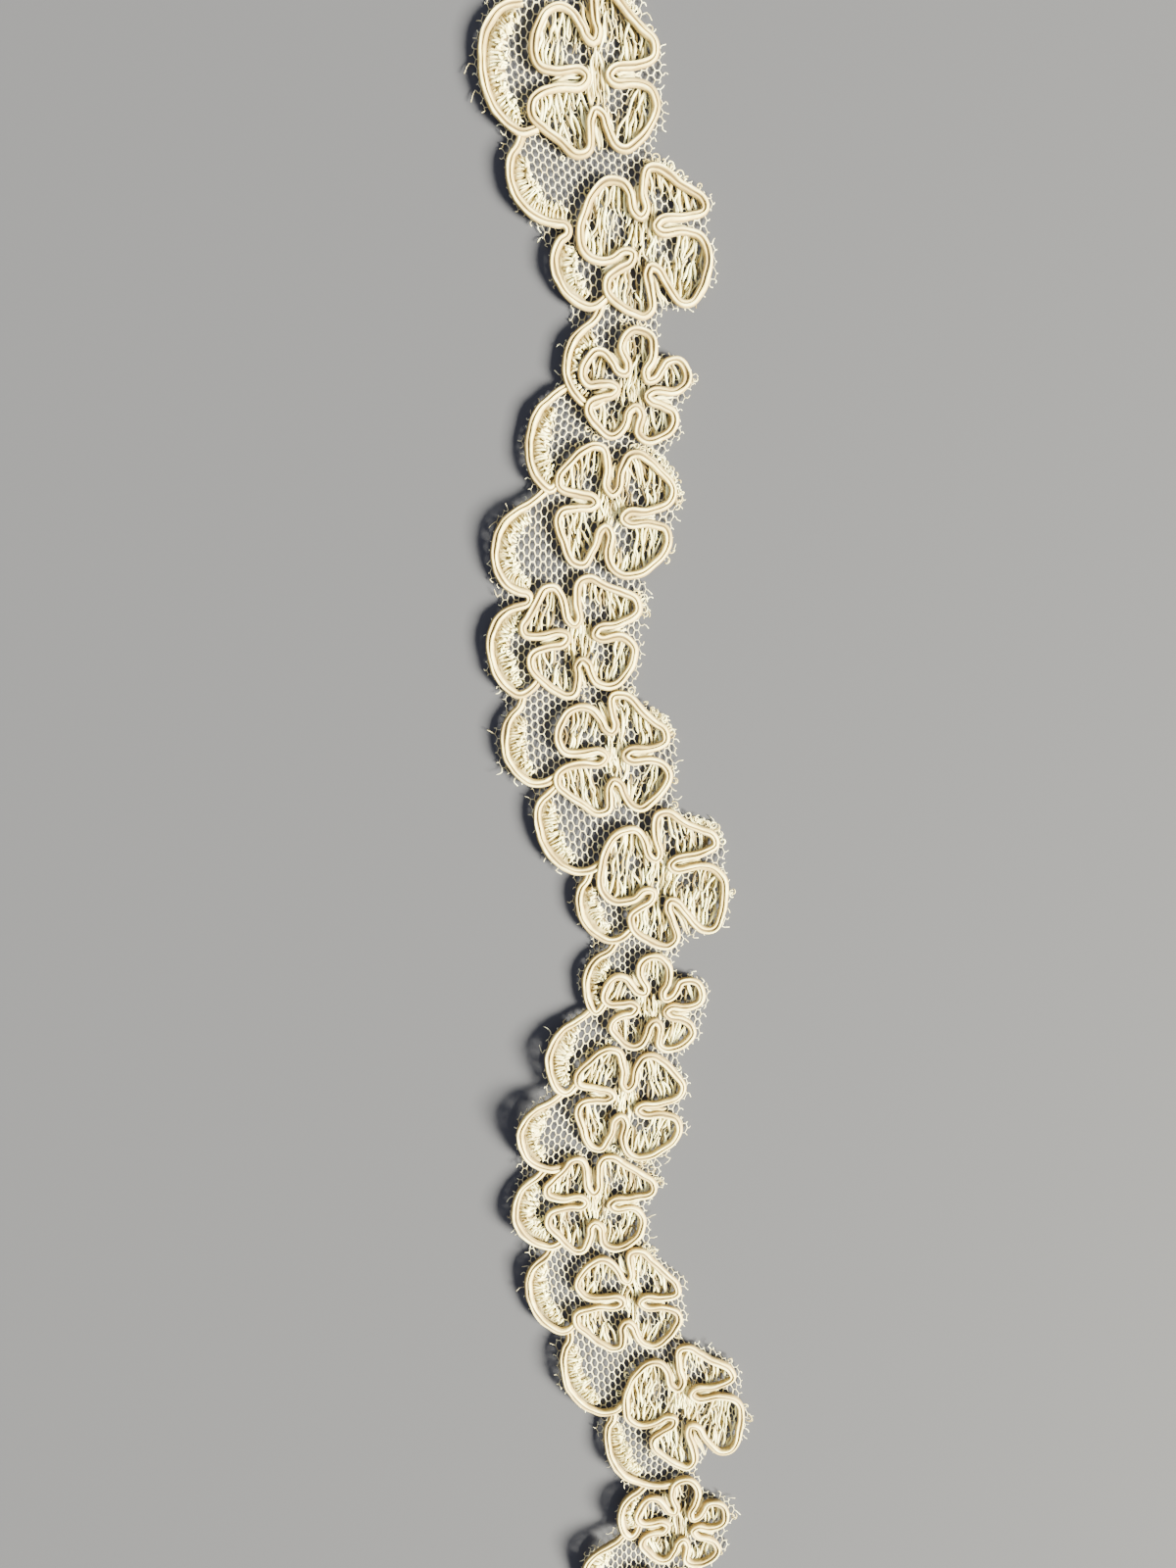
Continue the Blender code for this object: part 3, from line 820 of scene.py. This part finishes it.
fill_ends = np.concatenate([group.ends for group in thread_sets])
threads = len(fill_ends)
share = np.linspace(0, 1, THREAD_POINTS)
straight = fill_ends[:, :1] * (1 - share[:, None]) + fill_ends[:, 1:] * share[:, None]
run = fill_ends[:, 1] - fill_ends[:, 0]
length = np.linalg.norm(run, axis=1, keepdims=True)
turned = np.stack([-run[:, 1], run[:, 0]], axis=1) / length
swing = wander(threads, THREAD_POINTS, 2) * 0.21 + wander(threads, THREAD_POINTS, 5) * 0.14
swing = swing * np.clip(length / 2.5, 0.4, 1.2)
flat = straight + turned[:, None] * swing[..., None]
height = FILL_HEIGHT + for_each("height") + wander(threads, THREAD_POINTS, 4) * 0.12
height = height + rng.uniform(-0.08, 0.08, (threads, 1))
fill_paths = np.dstack([flat, height - NET_HEIGHT + surface_height(flat[..., 0], flat[..., 1])])
taper = np.sin(np.pi * share.clip(0.04, 0.96)) ** 0.5
girth = for_each("girth") * (1 + 0.35 * wander(threads, THREAD_POINTS, 5))
girth = girth * rng.uniform(0.75, 1.2, (threads, 1)) * taper
tone_low, tone_high = for_each("tone_low"), for_each("tone_high")
tone = tone_low + (tone_high - tone_low) * rng.beta(2.0, 1.3, (threads, 1))
filling = thread_piece("filling_threads", fill_paths, girth, 0.95 * girth, tone)

# %% [markdown]
# ## The scallops' looped bands
#
# Inside each scallop's cord a band of looped thread is worked into the net. It is a flattened
# ribbon of close thread with short lumpy loops across it, longest at the scallop's belly and
# ending raggedly over the net.

# %% Bands
BAND_REACH = 2.6
BAND_STRIPS = (0.55, 0.95)
RIBBON_PITCH = 0.3
LOOP_PITCH = 0.48
LOOP_POINTS = 7
LOOP_GIRTHS = np.array([0.6, 0.9, 1, 1.1, 1.25, 1.2, 0.6])


def clear_reach(base, heading, reach):
    """How far each loop can run before it comes close to a flower's cord."""
    places = np.linspace(0.15, 1, 8)
    tips = base[:, None] + heading[:, None] * (reach[:, None] * places)[..., None]
    gaps = np.linalg.norm(tips[:, :, None] - all_outlines[None, None, ::3], axis=-1).min(axis=2)
    return reach * places[np.cumprod(gaps > 0.6, axis=1).sum(axis=1).clip(1) - 1]


def band_course(course, step):
    """A scallop's course in even steps, the way inward at each and how wide its band is there:
    the band's reach times the fourth root of a half sine, so it narrows only at its ends."""
    path = evenly(course, step)
    side = side_vectors(path[None])[0, :, :2]
    share = np.linspace(0.06, 0.94, len(path))
    ripple = 1 + 0.15 * wander(1, len(path), max(len(path) // 3, 1))[0]
    return path, side, clear_reach(path, side, BAND_REACH * np.sin(np.pi * share) ** 0.25 * ripple)


places = np.linspace(0, 1, LOOP_POINTS)
loop_paths, head_ends = [], []
for course in trimmed:
    path, side, reach = band_course(course, LOOP_PITCH)
    slant = rng.normal(0, 0.16, (len(path), 1))
    slant = slant + 0.2 * np.sin(np.arange(len(path))[:, None] / 4 + rng.uniform(0, 6))
    forward = np.stack([-side[:, 1], side[:, 0]], axis=1)
    start = np.minimum(rng.uniform(*BAND_STRIPS), 0.5 * reach)[:, None]
    flat = (path[:, None] + side[:, None] * (start + places * (reach[:, None] - start))[..., None]
            + forward[:, None] * (slant * places + 0.12 * wander(len(path), LOOP_POINTS, 3))[..., None])
    loop_paths.append(flat)
    wide = np.nonzero(reach > 1.4)[0]
    heads = path[wide] + side[wide] * (reach[wide] * rng.uniform(0.55, 1.0, len(wide)))[:, None]
    turned = polar(rng.uniform(0, 360, len(wide)), 0.32)
    head_ends.append(np.stack([heads - turned, heads + turned], axis=1))
loop_flat = np.concatenate(loop_paths)
loops = len(loop_flat)
arch = 0.18 * np.sin(np.pi * places) + 0.12 * wander(loops, LOOP_POINTS, 3)
head_ends = np.concatenate(head_ends)
heads = len(head_ends)
head_flat = head_ends[:, :1] * (1 - places[:, None]) + head_ends[:, 1:] * places[:, None]
head_flat = head_flat + 0.12 * np.sin(np.pi * places)[:, None] * rng.choice([-1, 1], (heads, 1, 2))
loop_flat = np.concatenate([loop_flat, head_flat])
arch = np.concatenate([arch, 0.2 + 0.18 * np.sin(np.pi * places) + 0.05 * wander(heads, LOOP_POINTS, 2)])
height = FILL_HEIGHT - NET_HEIGHT + arch + surface_height(loop_flat[..., 0], loop_flat[..., 1])
girth = (1 + 0.3 * wander(loops + heads, LOOP_POINTS, 4)) * LOOP_GIRTHS
girth = girth * rng.uniform(0.8, 1.15, (loops + heads, 1))
tone = rng.uniform(0.6, 1.0, (loops + heads, 1))
band_loops = thread_piece("band_loops", np.dstack([loop_flat, height]), 0.115 * girth, 0.16 * girth, tone)

# %% The close ribbon under the loops, coloured with painted shade
ribbon_parts, ribbon_along = [], []
for course in trimmed:
    path, side, reach = band_course(course, RIBBON_PITCH)
    reach = reach * 0.92
    flat = path + side * (reach / 2)[:, None]
    ribbon = np.column_stack([flat, surface_height(flat[:, 0], flat[:, 1]) + 0.12])[None]
    lump = 1 + 0.2 * wander(1, len(path), len(path) // 2)
    ribbon_parts.append(carried(ribbon, ROUND_THREAD, reach[None] / 2 * 1.05, 0.2 * lump))
    ribbon_along.append(np.repeat(length_along(ribbon)[0], len(ROUND_THREAD)))


def joined(parts):
    """Several sets of points and faces as one."""
    starts = np.cumsum([0] + [len(points) for points, _ in parts])
    faces = [group + start for start, (_, groups) in zip(starts, parts) for group in groups]
    return np.concatenate([points for points, _ in parts]), faces


points, faces = joined(ribbon_parts)
# The ribbon's colour is painted shade: tan, and dark brown along its edge away from the cord, where the shade
# between the loops falls.
ribbon_painted_shade = np.tile(np.where(ROUND_THREAD[:, 0] > 0.1, 0.04, 0.42), len(points) // len(ROUND_THREAD))
band_ribbons = new_piece("band_ribbons", points, faces, filling_cotton, "net",
                         tone=ribbon_painted_shade, across=points[:, 0], along=np.concatenate(ribbon_along))

# %% [markdown]
# ## The cords
#
# The cord is couched down, so it lies slightly flattened: a raised strand, a lower one beside
# it and a groove between them. Both strands wander a little as they go, and the lower one
# comes and goes. The profile's numbers are its points' places across the cord, their heights
# and how much each belongs to a crest, which the material turns into painted light: a painted
# highlight on the crests, and painted shade in the groove, on the flanks and underneath.

# %% A cord's profile and its solid
CORD_HEIGHT = 1.12
CORD_STEP = 0.32
CORD_ACROSS = np.array([0.53, 0.51, 0.43, 0.33, 0.24, 0.12, 0.03, -0.04, -0.12, -0.22, -0.33, -0.44, -0.53,
                        -0.40, -0.15, 0.15, 0.40])
CORD_RISE = np.array([-0.05, 0.08, 0.20, 0.33, 0.38, 0.36, 0.24, 0.15, 0.21, 0.26, 0.23, 0.12, -0.05,
                      -0.36, -0.50, -0.50, -0.36])
# Painted light for each profile point: high on the strands' crests for a painted highlight, low in the
# groove, at the edges and underneath for painted shade.
CORD_PAINTED_LIGHT = np.array([0.25, 0.35, 0.55, 0.9, 1.0, 0.95, 0.35, 0.02, 0.3, 0.6, 0.55, 0.4, 0.25,
                       0.35, 0.4, 0.4, 0.35])
HIGH_STRAND, LOW_STRAND = slice(3, 7), slice(8, 11)


def cord_solid(course, closed, dip, mirrored):
    """A cord along its course: the profile carried on, its strands wandering as sums of sines,
    the lower one swelling and fading, and its height lowered by dip where it runs under."""
    steps = len(course)
    along = np.arange(steps) * CORD_STEP
    ring = 2 * np.pi * np.arange(steps) / steps if closed else along / 9

    def wave(turns):
        """A sine with this many turns round the ring, starting anywhere."""
        return np.sin(ring * turns + rng.uniform(0, 6))[:, None]

    side = side_vectors(course[None], closed)[0, :, :2]
    wobble = 0.07 * wave(8) + 0.05 * wave(15) + 0.03 * wave(27)
    course = course + side * wobble * (1.0 if closed else 0.4)
    path = np.column_stack([course, lift_height(course[:, 0], course[:, 1]) + CORD_HEIGHT - dip])[None]
    across, rise, crest = (np.tile(row, (steps, 1)) for row in (CORD_ACROSS, CORD_RISE, CORD_PAINTED_LIGHT))
    across[:, HIGH_STRAND] += 0.06 * wave(5) + 0.04 * wave(11)
    across[:, LOW_STRAND] += 0.04 * wave(7) + 0.03 * wave(13)
    strength = np.clip(0.55 + 0.5 * wave(4) + 0.3 * wave(9), 0, 1)
    rise[:, LOW_STRAND] += 0.10 * strength
    # Where the lower strand swells up, its painted highlight grows with it.
    crest[:, LOW_STRAND] += 0.28 * strength
    crest[:, HIGH_STRAND] *= 0.9 + 0.07 * wave(17) + 0.03 * wave(41)
    if mirrored:
        across, rise, crest = -across[:, ::-1], rise[:, ::-1], crest[:, ::-1]
    swell = (1 + 0.05 * wave(7) + 0.03 * wave(17) + 0.02 * wave(37)).T
    points, faces = carried(path, np.stack([across, rise], axis=-1)[None], swell, swell, closed)
    values = {"across": across.ravel(), "crest": crest.ravel(), "along": np.repeat(along, len(CORD_ACROSS))}
    return points, faces, values


def cord_piece(name, solids):
    """Several cords as one piece."""
    points, faces = joined([(points, faces) for points, faces, _ in solids])
    values = {label: np.concatenate([solid[2][label] for solid in solids]) for label in solids[0][2]}
    return new_piece(name, points, faces, cord_cotton, "cord", **values)


flower_solids = []
for outline in outlines:
    course = evenly(outline, CORD_STEP, closed=True)
    flower_solids.append(cord_solid(course, True, np.zeros(len(course)), rng.uniform() < 0.7))
flower_cords = cord_piece("flower_cords", flower_solids)

# %% [markdown]
# A scallop's cord runs on at its foot until it meets a petal and dips under the petal's cord.
# The next scallop's cord starts from there. Two pairs of scallops share one cord, which turns
# back between them in a small round hairpin.

# %% The scallops' cords
MEETING_REACH = 3.4
HAIRPIN_TRIM = 2
DIP = 0.3


def unit(step):
    """The same direction, one millimetre long."""
    return step / np.linalg.norm(step)


def run_on(end, heading, near, others):
    """A smooth curve from a cord's end to the point of the other cords nearest a place: a
    quadratic Bezier curve that leaves along the cord. Far cords are left alone."""
    away = np.linalg.norm(others - near, axis=1)
    if away.min() > MEETING_REACH:
        return end + heading * np.linspace(0.1, 0.8, 5)[:, None]
    target = others[away.argmin()]
    knee = end + heading * np.linalg.norm(target - end) * 0.5
    share = np.linspace(0, 1, 13)[1:, None]
    return end * (1 - share) ** 2 + 2 * knee * share * (1 - share) + target * share**2


courses, full = [], []
for index, (course, whole) in enumerate(zip(trimmed, scallops)):
    if index - 1 in HAIRPINS:
        upper, course = courses.pop()[:-HAIRPIN_TRIM], course[HAIRPIN_TRIM:]
        middle, half = (upper[-1] + course[0]) / 2, (upper[-1] - course[0]) / 2
        turn = np.linspace(0, np.pi, 9)[1:-1, None]
        bend = middle + half * np.cos(turn) + np.array([-half[1], half[0]]) * -np.sin(turn)
        course, whole = np.vstack([upper, bend, course]), np.vstack([full.pop(), whole])
    courses.append(course)
    full.append(whole)

scallop_solids, others = [], all_outlines
for course, whole in zip(courses, full):
    start = run_on(course[0], unit(course[0] - course[3]), whole[0] + [0.5, 1.0], others)
    finish = run_on(course[-1], unit(course[-1] - course[-4]), whole[-1] + [0.9, 1.3], all_outlines)
    course = evenly(np.vstack([start[::-1], course, finish]), CORD_STEP)
    gap = np.linalg.norm(course[:, None] - others[None], axis=-1).min(axis=1)
    dip = DIP * np.clip((1.2 - gap) / 0.9, 0, 1)
    scallop_solids.append(cord_solid(course, False, dip, rng.uniform() < 0.5))
    others = np.concatenate([all_outlines, course[len(course) // 2:]])
scallop_cords = cord_piece("scallop_cords", scallop_solids)

# %% [markdown]
# Loose ends of filling thread were drawn out past the cords and curled up, mostly above the
# petals on the right. Each is an arc of a small circle that rises as it turns, on the net just
# outside a petal's cord, and noise along the strip gathers them in tufts.

# %% Loose curls
CURL_POINTS = 9
curl_roots, curl_ways = [], []
for flower, outline in zip(FLOWERS, outlines):
    ring = evenly(outline, 0.3, closed=True)
    outward = -side_vectors(ring[None], closed=True)[0, :, :2]
    radial = ring - [flower.x, flower.y]
    outer = (outward * radial).sum(axis=1) / np.linalg.norm(radial, axis=1) > 0.7
    upper_right = np.clip(radial @ np.array([0.6, 0.8]) / 7, 0, 1) ** 2
    tuft = np.clip(wander(1, len(ring), 14)[0], 0, 1)
    chosen = outer & (rng.uniform(0, 1, len(ring)) < 0.06 + 2.2 * upper_right * tuft)
    chosen = np.nonzero(chosen)[0].repeat(2)
    curl_roots.append(ring[chosen])
    curl_ways.append(outward[chosen])
curl_roots, curl_ways = np.concatenate(curl_roots), np.concatenate(curl_ways)
curls = len(curl_roots)
share = np.linspace(0, 1, CURL_POINTS)
radius = rng.uniform(0.16, 0.36, (curls, 1))
middle = curl_roots + curl_ways * rng.uniform(0.6, 1.15, (curls, 1))
angle = rng.uniform(0, 2 * np.pi, (curls, 1))
angle = angle + rng.uniform(2.5, 5.0, (curls, 1)) * share * rng.choice([-1, 1], (curls, 1))
circle = np.stack([radius * np.cos(angle), radius * np.sin(angle)], axis=-1)
curl_flat = middle[:, None] + circle * (1 + 0.5 * share)[:, None]
rise = 0.12 + rng.uniform(0, 0.35, (curls, 1)) * np.sin(np.pi * share)
curl_paths = np.dstack([curl_flat, rise + surface_height(curl_flat[..., 0], curl_flat[..., 1])])
loose_curls = fine_ends("loose_curls", curl_paths, 0.08, 0.3, 0.45, filling_cotton)

# %% [markdown]
# ## Hiding the CAD parts
#
# The net is the sheet of cloth, and the others lie on it. Its flat area is the area of its
# threads alone, about two fifths of the strip's, because the rest is holes.

# %% Hiding the CAD sheet and cords
nodes = list(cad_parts)
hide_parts("lace_ground")
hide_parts(*[name for name in nodes if name.startswith("flower_cord")])
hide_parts(*[name for name in nodes if name.startswith("scallop_cord")])

# %% [markdown]
# ## Floor, light and camera
#
# A plain pale floor and soft studio light. The largest softbox is low on the right, as in the
# photograph, so the cords' crests are bright and their left flanks darker, over the highlight and
# shade already painted into the cord's colour. The camera is close above the strip and leans
# back by 9.6 degrees.

# %% Floor
FLOOR_HALF = 1.5
matt_board = {"Base Color": linear("3D3E46"), "Roughness": 0.9, "Specular IOR Level": 0.2}
floor_mesh = bpy.data.meshes.new("floor")
corners = [(x * FLOOR_HALF, y * FLOOR_HALF, 0.0) for x, y in ((-1, -1), (1, -1), (1, 1), (-1, 1))]
floor_mesh.from_pydata(corners, [], [(0, 1, 2, 3)])
floor_mesh.materials.append(new_material("pale_grey_board", matt_board)[0])
floor = bpy.data.objects.new("floor", floor_mesh)
bpy.context.scene.collection.objects.link(floor)
print("floor", 2 * FLOOR_HALF, "m across")

# %% Lights
def softbox(name, place, size, power, colour):
    """A square area light that points at the strip's middle."""
    lamp = bpy.data.lights.new(name, "AREA")
    lamp.size, lamp.energy, lamp.color = size, power, linear(colour)[:3]
    light = bpy.data.objects.new(name, lamp)
    reach = math.hypot(place[0], place[1])
    light.rotation_euler = (math.atan2(reach, place[2]), 0, math.atan2(place[1], place[0]) + math.pi / 2)
    light.location = place
    bpy.context.scene.collection.objects.link(light)
    return light


softbox("key", (2.0, -0.8, 1.36), 0.92, 1150.0, "FFFADC")
softbox("fill", (-0.3, 0.3, 0.7), 0.8, 2.0, "F6F8FF")
world = bpy.data.worlds.new("studio")
world.use_nodes = True
surround = world.node_tree.nodes["Background"].inputs
surround["Color"].default_value = linear("E9ECF2")
surround["Strength"].default_value = 0.7
bpy.context.scene.world = world
print("two softboxes and a pale surround")

# %% Camera
CAMERA_TILT = math.radians(9.6)
CAMERA_REACH = 139.0
CREST_HEIGHT = 1.4
SENSOR = 36.0
FOCAL_PIXELS, PHOTO_HEIGHT = 1155, 1600
lens = bpy.data.cameras.new("camera")
lens.sensor_width, lens.lens = SENSOR, SENSOR * FOCAL_PIXELS / PHOTO_HEIGHT
lens.clip_start, lens.clip_end = 0.005, 5.0
camera = bpy.data.objects.new("camera", lens)
back, up = CAMERA_REACH * math.sin(CAMERA_TILT), CAMERA_REACH * math.cos(CAMERA_TILT)
camera.location = [float(v) * MM for v in (-ORIGIN[0], back - ORIGIN[1], up + CREST_HEIGHT)]
camera.rotation_euler = (-CAMERA_TILT, 0, 0)
bpy.context.scene.collection.objects.link(camera)
bpy.context.scene.camera = camera
print("camera at", [round(v, 4) for v in camera.location])
